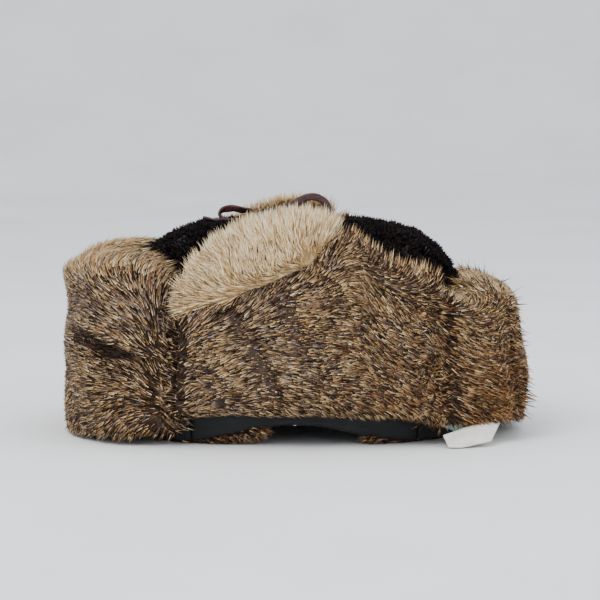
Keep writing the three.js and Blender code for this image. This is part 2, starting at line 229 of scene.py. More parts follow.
def side_plan(side):
    """Line in plan along one side of the crown, over the ear."""

    def plan(u, offset):
        x = mix(EAR_FRONT, EAR_BACK, u)
        grown = plan_half_width(x, BACKING_OFFSET) * (1 + (offset - BACKING_OFFSET) / HALF_WIDTH)
        return x * (HALF_LENGTH + offset) / (HALF_LENGTH + BACKING_OFFSET), side * grown

    return plan


def round_plan(start, end):
    return lambda u, offset: plan_point(mix(start, end, u), offset)


def from_middle(u):
    return np.abs(2 * u - 1)


class Flap:
    """A flap wrapped round the crown. bottom(u) and top(u) are its edges, pile the thickness of its fur, and
    rounding the distance over which that thins towards the start, end, bottom and top."""

    def __init__(self, plan, bottom, top, lean, pile, length, rounding, relief=None):
        self.plan = plan
        self.bottom = bottom
        self.top = top
        self.lean = lean
        self.pile = pile
        self.length = length
        self.rounding = rounding
        self.relief = relief or (lambda x, z: 0)

    def at(self, u, z, offset):
        x, y = self.plan(u, offset)
        draw = profile(z, self.lean)
        return np.stack([x * draw, y * draw, z * np.ones_like(x)], axis=-1)

    def level(self, u, v):
        return mix(self.bottom(u), self.top(u), v)

    def fur_offset(self, u, v):
        tall = self.top(u) - self.bottom(u)
        distances = (u * self.length, (1 - u) * self.length, v * tall, (1 - v) * tall)
        full = 1.0
        for distance, reach in zip(distances, self.rounding):
            full = full * np.sqrt(1 - (1 - clamp(distance / reach)) ** 2)
        z = self.level(u, v)
        x = self.plan(u, BACKING_OFFSET)[0]
        lumps = 1.8 * waves(np.stack([x, z], axis=-1), 46, 3)
        thickness = mix(EDGE_PILE, self.pile, full) + full * (lumps - self.relief(x, z))
        return PILE_BASE + np.maximum(thickness, 1.0)

    def fur_surface(self, u, v):
        return self.at(u, self.level(u, v), self.fur_offset(u, v))

    def frame_at(self, u, v):
        """Points of the fur's surface with the unit vectors along it, up it and out of it."""
        step = 0.004
        here = self.fur_surface(u, v)
        onward = self.fur_surface(clamp(u + step), v) - self.fur_surface(clamp(u - step), v)
        upward = self.fur_surface(u, clamp(v + step)) - self.fur_surface(u, clamp(v - step))
        out = unit(np.cross(onward, upward))
        middle = np.array([0, 0, 40])
        out = out * np.sign((out * (here - middle)).sum(axis=1, keepdims=True))
        return here, unit(onward), unit(upward), out

    def scatter(self, count, rng, fringe=0.0):
        """Random places over the flap; a share of them, fringe, is drawn towards its top edge."""
        u = rng.random(count * 2)
        u = u[rng.random(count * 2) * TALLEST_FLAP < self.top(u) - self.bottom(u)][:count]
        v = rng.random(len(u))
        on_edge = rng.random(len(u)) < fringe
        v = np.where(on_edge, 1 - 0.3 * rng.random(len(u)) ** 2.5, v)
        return u, v


# ------------------------------------------------------------------ meshes
def make_object(name, points, corners, starts, materials, slots=None):
    """A mesh object from points in mm, a flat list of face corners and where each face starts in it."""
    mesh = bpy.data.meshes.new(name)
    mesh.vertices.add(len(points))
    mesh.vertices.foreach_set("co", (points * MM).astype(np.float32).ravel())
    mesh.loops.add(len(corners))
    mesh.loops.foreach_set("vertex_index", corners.astype(np.int32))
    mesh.polygons.add(len(starts))
    mesh.polygons.foreach_set("loop_start", starts.astype(np.int32))
    for entry in materials:
        mesh.materials.append(entry)
    if slots is not None:
        mesh.polygons.foreach_set("material_index", slots.astype(np.int32))
    mesh.polygons.foreach_set("use_smooth", np.full(len(starts), True))
    mesh.update(calc_edges=True)
    obj = bpy.data.objects.new(name, mesh)
    bpy.context.collection.objects.link(obj)
    return obj


def quad_object(name, points, quads, look):
    quads = np.asarray(quads)
    obj = make_object(name, points, quads.ravel(), np.arange(len(quads)) * 4, [look])
    recalculate(obj)
    return obj


def recalculate(obj):
    """Welds equal points and turns every face outwards."""
    work = bmesh.new()
    work.from_mesh(obj.data)
    bmesh.ops.remove_doubles(work, verts=work.verts, dist=1e-6)
    bmesh.ops.dissolve_degenerate(work, edges=work.edges, dist=1e-6)
    bmesh.ops.recalc_face_normals(work, faces=work.faces)
    work.to_mesh(obj.data)
    work.free()


def slab(name, columns, rows, outer, inner, look):
    """A closed slab between two surfaces, each a function of arrays u and v."""
    u, v = np.meshgrid(np.linspace(0, 1, columns + 1), np.linspace(0, 1, rows + 1), indexing="ij")
    points = np.concatenate([outer(u.ravel(), v.ravel()), inner(u.ravel(), v.ravel())])
    index = np.arange(len(points)).reshape(2, columns + 1, rows + 1)
    a, b = index
    quads = [
        np.stack([a[:-1, :-1], a[1:, :-1], a[1:, 1:], a[:-1, 1:]], axis=-1).reshape(-1, 4),
        np.stack([b[:-1, :-1], b[:-1, 1:], b[1:, 1:], b[1:, :-1]], axis=-1).reshape(-1, 4),
    ]
    for one, two in ((a[:, 0], b[:, 0]), (b[:, -1], a[:, -1]), (b[0], a[0]), (a[-1], b[-1])):
        quads.append(np.stack([one[:-1], two[:-1], two[1:], one[1:]], axis=-1))
    return quad_object(name, points, np.concatenate(quads), look)


def hoop(name, sections, look, closed=True):
    """A tube through sections, shape (rings, points, 3): joined end to end, or closed by two caps."""
    rings, sides = sections.shape[:2]
    index = np.arange(rings * sides).reshape(rings, sides)
    after = np.roll(index, -1, axis=0) if closed else index[1:]
    before = index if closed else index[:-1]
    quads = np.stack([before, np.roll(before, -1, axis=1), np.roll(after, -1, axis=1), after], axis=-1)
    corners = [quads.reshape(-1)]
    starts = [np.arange(quads.size // 4) * 4]
    if not closed:
        corners += [index[0][::-1], index[-1]]
        starts.append(quads.size + np.array([0, sides]))
    points = sections.reshape(-1, 3)
    obj = make_object(name, points, np.concatenate(corners), np.concatenate(starts), [look])
    recalculate(obj)
    return obj


# ------------------------------------------------------------------ materials
def colour(code):
    """Linear colour of an sRGB code such as 0x8A6A4C."""
    channels = [((code >> shift) & 255) / 255 for shift in (16, 8, 0)]
    return [c / 12.92 if c <= 0.04045 else ((c + 0.055) / 1.055) ** 2.4 for c in channels] + [1.0]


def new_material(name, roughness, sheen=0.0):
    look = bpy.data.materials.new(name)
    look.use_nodes = True
    shader = look.node_tree.nodes["Principled BSDF"]
    shader.inputs["Roughness"].default_value = roughness
    shader.inputs["Sheen Weight"].default_value = sheen
    return look, shader


def hair_material(name, code, roughness=0.7, shine=0.15):
    look, shader = new_material(name, roughness)
    shader.inputs["Base Color"].default_value = colour(code)
    shader.inputs["Specular IOR Level"].default_value = shine
    return look


def textured(name, codes, scale, roughness, bump, stretch=(1, 1, 1), sheen=0.0, fine=None):
    """A material whose colour runs through codes with noise, over a bump of that noise and a finer one."""
    look, shader = new_material(name, roughness, sheen)
    nodes, links = look.node_tree.nodes, look.node_tree.links
    place = nodes.new("ShaderNodeTexCoord")
    mapping = nodes.new("ShaderNodeMapping")
    mapping.inputs["Scale"].default_value = stretch
    links.new(place.outputs["Object"], mapping.inputs["Vector"])
    noise = nodes.new("ShaderNodeTexNoise")
    noise.inputs["Scale"].default_value = scale
    noise.inputs["Detail"].default_value = 6
    noise.inputs["Roughness"].default_value = 0.65
    links.new(mapping.outputs["Vector"], noise.inputs["Vector"])
    ramp = nodes.new("ShaderNodeValToRGB")
    stops = ramp.color_ramp.elements
    stops[0].position, stops[-1].position = 0.3, 0.7
    for k in range(1, len(codes) - 1):
        stops.new(0.3 + 0.4 * k / (len(codes) - 1))
    for stop, code in zip(stops, codes):
        stop.color = colour(code)
    links.new(noise.outputs["Fac"], ramp.inputs["Fac"])
    links.new(ramp.outputs["Color"], shader.inputs["Base Color"])
    height = noise.outputs["Fac"]
    if fine:
        grain = fine(nodes, links, mapping)
        blend = nodes.new("ShaderNodeMath")
        blend.operation = "ADD"
        links.new(noise.outputs["Fac"], blend.inputs[0])
        links.new(grain, blend.inputs[1])
        height = blend.outputs["Value"]
    relief = nodes.new("ShaderNodeBump")
    relief.inputs["Strength"].default_value = bump
    relief.inputs["Distance"].default_value = 0.0006
    links.new(height, relief.inputs["Height"])
    links.new(relief.outputs["Normal"], shader.inputs["Normal"])
    return look


def weave(scale):
    """Crossed threads, about 1000 / scale mm apart, for a cloth's bump."""

    def grain(nodes, links, mapping):
        outputs = []
        for direction in ("X", "Z"):
            thread = nodes.new("ShaderNodeTexWave")
            thread.bands_direction = direction
            thread.inputs["Scale"].default_value = scale
            thread.inputs["Distortion"].default_value = 0.6
            links.new(mapping.outputs["Vector"], thread.inputs["Vector"])
            outputs.append(thread.outputs["Fac"])
        cross = nodes.new("ShaderNodeMath")
        cross.operation = "MULTIPLY"
        links.new(outputs[0], cross.inputs[0])
        links.new(outputs[1], cross.inputs[1])
        return cross.outputs["Value"]

    return grain


def cells(scale):
    """Small pebbled cells, for leather grain."""

    def grain(nodes, links, mapping):
        pebbles = nodes.new("ShaderNodeTexVoronoi")
        pebbles.inputs["Scale"].default_value = scale
        links.new(mapping.outputs["Vector"], pebbles.inputs["Vector"])
        return pebbles.outputs["Distance"]

    return grain


UNDERCOAT = textured("fur_undercoat", [0x14100D, 0x2C211A, 0x46362A, 0x211813], 420, 0.95, 0.8, (0.35, 1, 1))
CREAM_UNDERCOAT = textured("cream_undercoat", [0x8A6E48, 0xB2966A, 0xC9AE82], 380, 0.95, 0.7, (0.5, 1, 1))
PLUSH_SKIN = textured("plush_skin", [0x060404, 0x120B0B, 0x1B1110], 300, 0.95, 0.8, sheen=0.05)
SUEDE = textured("suede", [0x2E201A, 0x3D2C24, 0x4B382D], 90, 0.85, 0.5, sheen=0.4, fine=cells(1400))
SATIN = textured("lining_satin", [0x0C0C0E, 0x141416, 0x1B1B1F], 60, 0.38, 0.25, sheen=0.2, fine=weave(900))
BAND_CLOTH = textured("band_cloth", [0x040506, 0x080A0C, 0x0E1114], 110, 0.7, 0.4, fine=weave(700))
THREAD = textured("band_thread", [0x15181C, 0x24282D], 900, 0.6, 0.3)
THONG = textured("thong_leather", [0x1E0D0D, 0x37181B, 0x4C2828, 0x281211], 240, 0.5, 0.6, fine=cells(1100))
SATIN_TAPE = {"scale": 160, "bump": 0.35, "sheen": 0.2, "fine": weave(1500)}
LABEL_WHITE = textured("label_white", [0xD8D2C0, 0xEFEBE0, 0xF6F3EA], roughness=0.45, **SATIN_TAPE)
LABEL_MINT = textured("label_mint", [0x93B8AD, 0xB4D2C8, 0xC6DED6], roughness=0.5, **SATIN_TAPE)

SHADES = {
    "soot": 0x1E1611, "espresso": 0x38281D, "umber": 0x5A422D, "taupe": 0x80695A, "ash": 0x9C8C82,
    "brown": 0x8F6A45, "tan": 0xBC9766, "sand": 0xDBBC8A, "cream": 0xF0DAAE, "ivory": 0xF8EBCB,
    "amber": 0xC08748, "russet": 0x8C552E,
}
SHADE_NAMES = list(SHADES)
HAIR = [hair_material("hair_" + name, code) for name, code in SHADES.items()]
PLUSH = [hair_material("plush_" + name, code, 0.85, 0.12) for name, code in (
    ("black", 0x0A0706), ("brown_black", 0x130C0B), ("wine", 0x1F1013), ("brown", 0x2A1B16),
)]


def weights(**shares):
    row = np.zeros(len(SHADES))
    for name, share in shares.items():
        row[SHADE_NAMES.index(name)] = share
    return row


AGOUTI = weights(soot=13, espresso=12, umber=10, taupe=9, ash=3, brown=13, tan=19, sand=13, cream=4)
GREY = weights(soot=10, espresso=10, umber=6, taupe=26, ash=20, brown=5, tan=10, sand=10, cream=3)
WARM = weights(soot=14, espresso=17, umber=18, brown=17, tan=8, sand=3, amber=11, russet=12)
BLOND = weights(umber=3, taupe=6, ash=4, brown=8, tan=24, sand=32, cream=16, amber=7)
PALE = weights(tan=6, sand=30, cream=46, ivory=18)
# Near-black tips used only to paint shade into the ear flap's crease and the visor's pocket and crease.
PAINTED_SHADE = weights(soot=55, espresso=30, umber=12, taupe=3)
ROOTS = weights(soot=26, espresso=36, umber=28, taupe=10)
PALE_ROOTS = weights(tan=36, sand=64)


def pick(rng, rows):
    """One index a row, by the row's weights."""
    total = np.cumsum(rows, axis=1)
    return (rng.random((len(rows), 1)) * total[:, -1:] > total).sum(axis=1).astype(int)


SHADE_LIGHTNESS = np.array([0.2, 0.3, 0.45, 0.6, 0.65, 0.55, 0.8, 0.9, 1.0, 1.0, 0.7, 0.5]) - 0.55


# ------------------------------------------------------------------ hairs
LARGEST_PIECE = 18000  # hairs in one object
NAP_HAIRS = 9500  # on one gore
TUFT_HAIRS = 900
LOWEST_HAIR = 0.4


def grow(name, body, palette, root, flow, out, length, width, tip_share, curl, root_shade, tip_shade):
    """Tapered locks of hair as closed three-sided spikes, each a dark root part and a lighter tip."""
    for part, first in enumerate(range(0, len(root), LARGEST_PIECE)):
        some = slice(first, first + LARGEST_PIECE)
        count = len(root[some])
        heading = unit(flow[some])
        side = unit(np.cross(heading, out[some]))
        back = np.cross(side, heading)
        reach = length[some, None]
        knee = root[some] + heading * reach * (1 - tip_share)
        tip = knee + unit(heading - back * curl[some, None]) * reach * tip_share
        rings = []
        for centre, size in ((root[some] - heading * 0.8, 0.9), (knee, 1.0)):
            wide = width[some, None] * size
            rings += [centre - side * wide / 2, centre + back * wide * 0.4, centre + side * wide / 2]
        points = np.stack(rings + [tip], axis=1)
        points[..., 2] = np.maximum(points[..., 2], LOWEST_HAIR)
        faces = [(0, 2, 1), (0, 1, 4, 3), (1, 2, 5, 4), (2, 0, 3, 5), (3, 4, 6), (4, 5, 6), (5, 3, 6)]
        pattern = np.concatenate(faces)
        begins = np.cumsum([0] + [len(face) for face in faces[:-1]])
        hair = np.arange(count)
        corners = (hair[:, None] * 7 + pattern).ravel()
        starts = (hair[:, None] * len(pattern) + begins).ravel()
        slots = np.stack([root_shade[some]] * 4 + [tip_shade[some]] * 3, axis=1).ravel()
        obj = make_object(f"{name}_{part + 1}", points.reshape(-1, 3), corners, starts, palette, slots)
        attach(obj, body)


def comb(flap, name, body, count, seed, heading, shade, root_row=ROOTS, length=(9, 14), width=(0.3, 0.85),
         lift=0.22, fringe=0.06):
    """Fur over a flap. heading(u, v, x, z) gives its lay as (along, up), and shade(x, z, places) gives the
    weights of its tips' shades. Near the two ends half of the hairs lean the other way, over the seam."""
    rng = np.random.default_rng(seed)
    u, v = flap.scatter(count, rng, fringe)
    root, onward, upward, out = flap.frame_at(u, v)
    x, z = flap.plan(u, BACKING_OFFSET)[0], root[:, 2]
    ahead, up = heading(u, v, x, z)
    places = root * [1, 0.4, 1]
    near_end = np.exp(-(((1 - from_middle(u)) * flap.length / 11) ** 2))
    ahead = np.where(rng.random(len(u)) < 0.5 * near_end, -ahead, ahead)
    turn = 0.2 * waves(places, 26, seed + 1) + 0.14 * waves(places, 9, seed + 4)
    turn = turn + 0.12 * rng.normal(size=len(u))
    ahead, up = ahead * np.cos(turn) - up * np.sin(turn), ahead * np.sin(turn) + up * np.cos(turn)
    rise = lift * rng.uniform(0.7, 1.35, len(u)) + 0.25 * near_end
    tall = flap.top(u) - flap.bottom(u)
    near_top = np.exp(-(((1 - v) * tall / 8) ** 2))
    up = up + 2 * near_top - 0.8 * np.exp(-((v * tall / 7) ** 2))
    flow = onward * ahead[:, None] + upward * up[:, None]
    flow = unit(flow) + out * rise[:, None]
    rows = shade(x, z, places)
    clump = waves(places, 5.5, seed + 2) + 0.7 * waves(places, 13, seed + 3)
    rows = rows * np.exp(1.2 * clump[:, None] * SHADE_LIGHTNESS)
    tips = pick(rng, rows)
    roots = pick(rng, np.tile(root_row, (len(u), 1)))
    reach = rng.uniform(*length, len(u)) * (1 + 0.3 * near_top)
    grow(name, body, HAIR, root - out * 1.2, flow, out, reach, rng.uniform(*width, len(u)), 0.4,
         rng.uniform(0.05, 0.45, len(u)), roots, tips)


def blend_rows(*pairs):
    """Weights mixed from (row, share) pairs, where the shares are arrays."""
    return sum(share[:, None] * row for row, share in pairs)


def tint(rows, row, share):
    """Weights moved towards one row by an array of shares."""
    return rows * (1 - share)[:, None] + share[:, None] * row


# ------------------------------------------------------------------ the flaps
def pelt(name, flap, size, body, node, look):
    """The skin under a flap's hair, as a closed slab with size = (columns, rows)."""
    skin = slab(name, *size, flap.fur_surface, lambda u, v: flap.at(u, flap.level(u, v), PILE_BASE), look)
    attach(skin, body)
    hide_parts(node)


def ear_top(u):
    return along(EAR_TOP, mix(EAR_FRONT, EAR_BACK, u))


def ear_bottom(u):
    return EAR_HEM + EAR_HEM_ARCH * (1 - (mix(EAR_FRONT, EAR_BACK, u) / EAR_BACK) ** 4)


def ear_seam(u):
    return along(EAR_SEAM, mix(EAR_FRONT, EAR_BACK, u))


EAR_CREASE = [(-40, 86), (-30, 68), (-20, 50), (-14, 36), (-14, 26)]


def ear_relief(x, z):
    return 2.5 * valley(x, z, EAR_SEAM, 5) + 0.8 * valley(x, z, EAR_CREASE, 7)


def ear_shade(x, z, places):
    grey = clamp(0.25 + 0.5 * waves(places, 60, 21) - x / 160)
    warm = clamp(0.2 + 0.4 * waves(places, 70, 22) + (x - 10) / 120 - (z - 40) / 150)
    # Painted shade: hair tips along the crease are darkened, on top of the crease's real dent in the fur.
    dark = 0.4 * valley(x, z, EAR_CREASE, 4)
    rows = blend_rows((AGOUTI, 1 - 0.6 * grey - 0.4 * warm), (GREY, 0.6 * grey), (WARM, 0.4 * warm))
    return tint(rows, PAINTED_SHADE, dark)


def tip_shade(x, z, places):
    low = 1 - smooth(z - along(EAR_SEAM, x), 3, 22)
    mixed = clamp(0.55 * low + 0.2 * waves(places, 20, 31))
    return blend_rows((PALE, 1 - mixed), (BLOND, mixed * 0.7), (GREY, mixed * 0.3))


def tip_heading(u, v, x, z):
    """The cream tip's hair fans out: forwards at its front end, up at its top and back at its rear end."""
    angle = np.radians(along([(-76, 175), (-55, 150), (-35, 120), (0, 92), (26, 75), (36, 50)], x))
    return np.cos(angle), np.sin(angle)


def main_heading(u, v, x, z):
    angle = along([(-76, 24), (-40, 8), (-10, -10), (40, -20), (76, -22)], x)
    angle = angle + 14 * smooth(40 - z, 0, 20) * (x < -10)
    angle = angle + 70 * smooth(z - ear_top(u), -16, 0) * smooth(x, 24, 44)
    return np.cos(np.radians(angle)), np.sin(np.radians(angle))


def ear_flap(name, side):
    def main_top(u):
        return np.minimum(ear_top(u), ear_seam(u) - 0.4)

    def tip_bottom(u):
        return ear_seam(u * TIP_SHARE) + 0.4

    def tip_top(u):
        return np.maximum(ear_top(u * TIP_SHARE), ear_seam(u * TIP_SHARE) + 2.4)

    body = f"{name}_ear_flap"
    plan = side_plan(side)
    main = Flap(plan, ear_bottom, main_top, EAR_LEAN, EAR_PILE, EAR_LENGTH, (2.5, 2, 8, 2), ear_relief)
    pelt(f"{name}_ear_pelt", main, (64, 44), body, f"{name}_ear_fur", UNDERCOAT)
    comb(main, f"{name}_ear_hair", body, 24000, 100 + side, main_heading, ear_shade)

    tip = Flap(lambda u, offset: plan(u * TIP_SHARE, offset), tip_bottom, tip_top, EAR_LEAN, EAR_PILE,
               EAR_LENGTH * TIP_SHARE, (7, 9, 2, 9), ear_relief)
    pelt(f"{name}_tip_pelt", tip, (44, 26), body, f"{name}_ear_tip_fur", CREAM_UNDERCOAT)
    comb(tip, f"{name}_tip_hair", body, 11000, 200 + side, tip_heading, tip_shade, PALE_ROOTS, (11, 17),
         (0.3, 0.75), 0.45, 0.15)

    full = Flap(plan, ear_bottom, ear_top, EAR_LEAN, 0, EAR_LENGTH, (1, 1, 1, 1))
    backing(name + "_ear", full)


def backing(name, flap):
    """The suede inside a flap, and the black band that joins the flap to the rim and bends at the fold."""

    def suede(thickness):
        def surface(u, v):
            z = mix(flap.bottom(u), flap.top(u) - 0.5, v)
            wrinkle = 0.25 * waves(np.stack([u * flap.length, z], axis=-1), 17, 5)
            return flap.at(u, z, BACKING_OFFSET + 0.4 + thickness + wrinkle)

        return surface

    def band(thickness):
        def surface(u, v):
            low = hem_bottom(flap.plan(u, 0)[0]) + 1.5
            z = mix(low, flap.bottom(u) + 2, v)
            pucker = 0.5 * np.sin(2.5 * np.pi * v) ** 2
            return flap.at(u, z, mix(0.5, BACKING_OFFSET + 0.2, v) + thickness + pucker)

        return surface

    for label, face, thickness, look, rows in (
        ("suede", suede, 1.8, SUEDE, 32), ("fold", band, 0.8, BAND_CLOTH, 12),
    ):
        piece = slab(f"{name}_{label}", 48, rows, face(thickness), face(0), look)
        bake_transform(piece)
        if label == "suede":
            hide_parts(f"{name}_backing")


VISOR_TURN = math.pi - azimuth_at(EAR_FRONT - 1)
POCKET = [(-95, 64), (-87, 58)]
RIDGE = [(-97, 74), (-85, 66), (-68, 57)]
VISOR_CREASE = [(-87, 57), (-68, 51)]


def visor_relief(x, z):
    folds = 9 * valley(x, z, POCKET, 8) + 4 * valley(x, z, VISOR_CREASE, 4) - 3.5 * valley(x, z, RIDGE, 5)
    return folds + 2.5 * smooth(40 - z, 0, 30) + 14 * smooth(x, -98, -64)


def visor_shade(x, z, places):
    warm = clamp(smooth(z, 78, 108) + 0.8 * smooth(-x, 118, 134) + 0.3 * waves(places, 30, 41), 0, 1) * 0.75
    grey = clamp(smooth(x, -118, -100) * smooth(z, 45, 60) * (1 - smooth(z, 92, 108))) * 0.7
    rest = clamp(1 - warm - grey)
    blond = clamp(smooth(z, 92, 110) * 0.6)
    rows = blend_rows((AGOUTI, rest), (WARM * 0.4 + BLOND * 0.6, warm), (GREY, grey))
    # Painted highlight: paler tips along the fold's raised ridge.
    blond = np.maximum(blond, 0.7 * valley(x, z, RIDGE, 3.5))
    # Painted shade: tips darken in the pocket under the fold's lump and along the crease, on top of their
    # real dents.
    dark = clamp(valley(x, z, POCKET, 8) + 0.8 * valley(x, z, VISOR_CREASE, 3))
    return tint(tint(rows, BLOND, blond), PAINTED_SHADE, dark)


def visor_heading(u, v, x, z):
    """Forwards from both ends, up in the upper part and down towards the lower front."""
    forward = np.sign(0.5 - u) * smooth(from_middle(u), 0.02, 0.3)
    angle = mix(-18.0, 8.0, smooth(z, 10, 60)) + 75 * smooth(z, 84, 112)
    return forward * np.cos(np.radians(angle)), np.sin(np.radians(angle)) + 0.5 * (1 - np.abs(forward))


def visor_bottom(u):
    return 3 + 9 * from_middle(u) ** 4


def visor_top(u):
    return along(VISOR_TOP, from_middle(u))


def front_flap():
    plan = round_plan(math.pi - VISOR_TURN, math.pi + VISOR_TURN)
    flap = Flap(plan, visor_bottom, visor_top, ROUND_LEAN, VISOR_PILE, VISOR_LENGTH, (3, 3, 5, 15),
                visor_relief)
    pelt("front_flap_pelt", flap, (76, 46), "front_flap", "front_flap_fur", UNDERCOAT)
    comb(flap, "front_flap_hair", "front_flap", 36000, 300, visor_heading, visor_shade, length=(10, 15),
         lift=0.26, fringe=0.16)
    backing("front_flap", flap)


def rear_relief(x, z):
    """The back bulges low down, draws in towards its top edge and thickens from the ears to the nape."""
    grade = REAR_GRADE * (clamp((x - EAR_BACK) / REAR_GRADE_REACH) - 0.5)
    return 5 * smooth(z, 35, 80) - 3 - grade


def rear_shade(x, z, places):
    warm = clamp(0.6 + 0.3 * waves(places, 40, 51) - (z - 60) / 110)
    blond = smooth(z, 76, 92) * 0.55
    # A small spot low on the rear gets greyer tips.
    grey_spot = valley(x, z, [(126, 27), (131, 26)], 8) * 0.7
    rows = blend_rows((AGOUTI, 1 - warm), (WARM, warm))
    return tint(tint(rows, BLOND, blond), GREY, grey_spot)


def corner_heading(u, v, x, z):
    """Towards the nape's middle and a little down, but up at the top edge."""
    angle = np.radians(-16 + 66 * smooth(z, 78, 92))
    return np.cos(angle), np.sin(angle)


def nape_heading(u, v, x, z):
    """Across the nape and a little down."""
    angle = np.radians(np.full(np.shape(x), -10.0))
    return np.cos(angle), np.sin(angle)


def corner_bottom(u):
    return CORNER_HEM + 0 * u


def corner_top(u):
    return CORNER_TOP - CORNER_DIP * np.sin(np.pi * u)


def nape_bottom(u):
    return 5 + 9 * from_middle(u) ** 2


def nape_top(u):
    return NAPE_TOP + 2 * from_middle(u)


def corner(name, side):
    body = f"{name}_corner"
    plan = round_plan(side * azimuth_at(EAR_BACK + 1), side * azimuth_at(CORNER_END - 0.5))
    flap = Flap(plan, corner_bottom, corner_top, ROUND_LEAN, REAR_PILE, CORNER_LENGTH, (2, 2, 6, 9),
                rear_relief)
    pelt(f"{name}_corner_pelt", flap, (24, 34), body, f"{name}_corner_fur", UNDERCOAT)
    comb(flap, f"{name}_corner_hair", body, 9500, 400 + side, corner_heading, rear_shade, fringe=0.12)
    backing(name + "_corner", flap)


def nape_flap():
    turn = azimuth_at(CORNER_END + 0.5)
    plan = round_plan(-turn, turn)
    flap = Flap(plan, nape_bottom, nape_top, ROUND_LEAN, REAR_PILE, NAPE_LENGTH, (2, 2, 6, 11), rear_relief)
    pelt("nape_flap_pelt", flap, (40, 36), "nape_flap", "nape_flap_fur", UNDERCOAT)
    comb(flap, "nape_hair", "nape_flap", 17000, 500, nape_heading, rear_shade, length=(10, 15), fringe=0.12)
    backing("nape_flap", flap)


# ------------------------------------------------------------------ crown, lining and rim
def crown():
    rng = np.random.default_rng(7)
    for side, middle in {"back": 0, "right": 90, "front": 180, "left": 270}.items():
        azimuths = np.radians([middle - 45, middle + 45])
        gore(side, azimuths)
        quilt(side, azimuths)
        nap(rng, side, azimuths)


def gore(side, azimuths):
    """The plush skin of one quarter of the crown, puffed between its seams."""

    def outside(u, v):
        points = dome_point(mix(*azimuths, u), v, 0)
        puff = 0.9 * waves(points, 9, 61) + 0.8 * waves(points, 22, 62)
        seam = 1.6 * np.exp(-((1 - from_middle(u)) * (1 - v) * 60 / 3) ** 2)
        return points + unit(points - CROWN_HEART) * (puff - seam - 0.8)[:, None]

    def inside(u, v):
        return dome_point(mix(*azimuths, u), v, 0.5 - SHELL_THICKNESS)

    shell = slab(f"crown_{side}_plush", 70, 60, outside, inside, PLUSH_SKIN)
    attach(shell, "crown")
    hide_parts(f"crown_{side}")


def quilt(side, azimuths):
    """The satin lining of one quarter of the crown, sewn down in a diamond pattern."""

    def outside(u, v):
        return dome_point(mix(*azimuths, u), v, LINING_OUTER)

    def inside(u, v):
        points = dome_point(mix(*azimuths, u), v, LINING_OUTER - LINING_THICKNESS)
        across, up = (u - 0.5) * 130, v * 140
        diamonds = np.sin(np.pi * (across + up) / 24) * np.sin(np.pi * (across - up) / 24)
        return points + unit(points - CROWN_HEART) * (1.4 * (1 - np.abs(diamonds) ** 0.35))[:, None]

    panel = slab(f"lining_{side}_quilt", 70, 60, outside, inside, SATIN)
    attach(panel, "crown")
    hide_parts(f"lining_{side}")


def nap(rng, side, azimuths):
    """Sheared fur on one gore: short dark hairs that stand up and lean together in clumps."""
    count = NAP_HAIRS
    u, v = rng.random(count), rng.random(count)
    azimuth = mix(*azimuths, u)
    root = dome_point(azimuth, v, -0.5)
    step = 0.01
    onward = dome_point(azimuth + step, v, 0) - dome_point(azimuth - step, v, 0)
    upward = dome_point(azimuth, clamp(v + step), 0) - dome_point(azimuth, clamp(v - step), 0)
    out = unit(np.cross(onward, upward))
    out = out * np.sign((out * (root - CROWN_HEART)).sum(axis=1, keepdims=True))
    clump = np.stack([waves(root, 10, 70 + k) for k in range(3)], axis=1)
    flow = out + 0.5 * clump + 0.25 * rng.normal(size=root.shape)
    rows = np.tile([50.0, 34, 11, 5], (count, 1))
    # Painted highlight: browner tips in a band across the rear of the crown.
    rows[:, 3] += 26 * valley(root[:, 0], root[:, 2], [(58, 100), (66, 130)], 9)
    tips = pick(rng, rows)
    long = rng.uniform(3.6, 5.4, count) + 0.8 * waves(root, 12, 74)
    grow(f"crown_{side}_nap", "crown", PLUSH, root, flow, out, long, rng.uniform(0.7, 1.3, count), 0.45,
         rng.uniform(-0.2, 0.4, count), np.zeros(count, int), tips)


def rim_section(azimuth, outer, inner, bottom, top, count=24, puff=0.0):
    """Rounded cross-sections of a band round the rim, between two offsets and two heights."""
    across, tall = rounded(np.linspace(0, 2 * np.pi, count, endpoint=False), 0.45)
    offset = mix(inner, outer, (across + 1) / 2)
    x, y = plan_point(azimuth[:, None], offset[None, :] - puff)
    z = hem_bottom(x) + mix(bottom, top, (tall + 1) / 2)
    return np.stack([x, y, z], axis=-1)


def rim():
    azimuth = np.linspace(0, 2 * np.pi, 360, endpoint=False)
    pucker = 0.45 * (1 + np.sin(azimuth * 90))[:, None] + 0.3 * waves(azimuth[:, None] * 60, 16, 81)[:, None]
    binding = hoop("hem_roll", rim_section(azimuth, 0, -11.4, 0, HEM_HEIGHT, puff=pucker * 0.5), BAND_CLOTH)
    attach(binding, "crown")
    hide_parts("hem_binding")
    band = hoop("sweatband_ribbon", rim_section(azimuth, -12.4, -13.9, 1, 32, 16), BAND_CLOTH)
    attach(band, "crown")
    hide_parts("sweatband")
    for name, offset, height in (("hem_stitches", -0.2, 10.5), ("sweatband_stitches", -13.9, 28)):
        stitches(name, offset, height)


def stitches(name, offset, height):
    """A row of short threads round the rim."""
    rng = np.random.default_rng(9)
    count = 190
    azimuth = np.linspace(0, 2 * np.pi, count, endpoint=False)
    x, y = plan_point(azimuth, offset)
    root = np.stack([x, y, hem_bottom(x) + height], axis=-1)
    ahead = unit(np.roll(root, -1, axis=0) - root)
    out = unit(np.stack([x, y, 0 * x], axis=-1)) * np.sign(offset + 5)
    grow(name, "crown", [THREAD], root, ahead, out, np.full(count, 2.6), rng.uniform(0.6, 0.7, count), 0.5,
         np.full(count, 0.2), np.zeros(count, int), np.zeros(count, int))


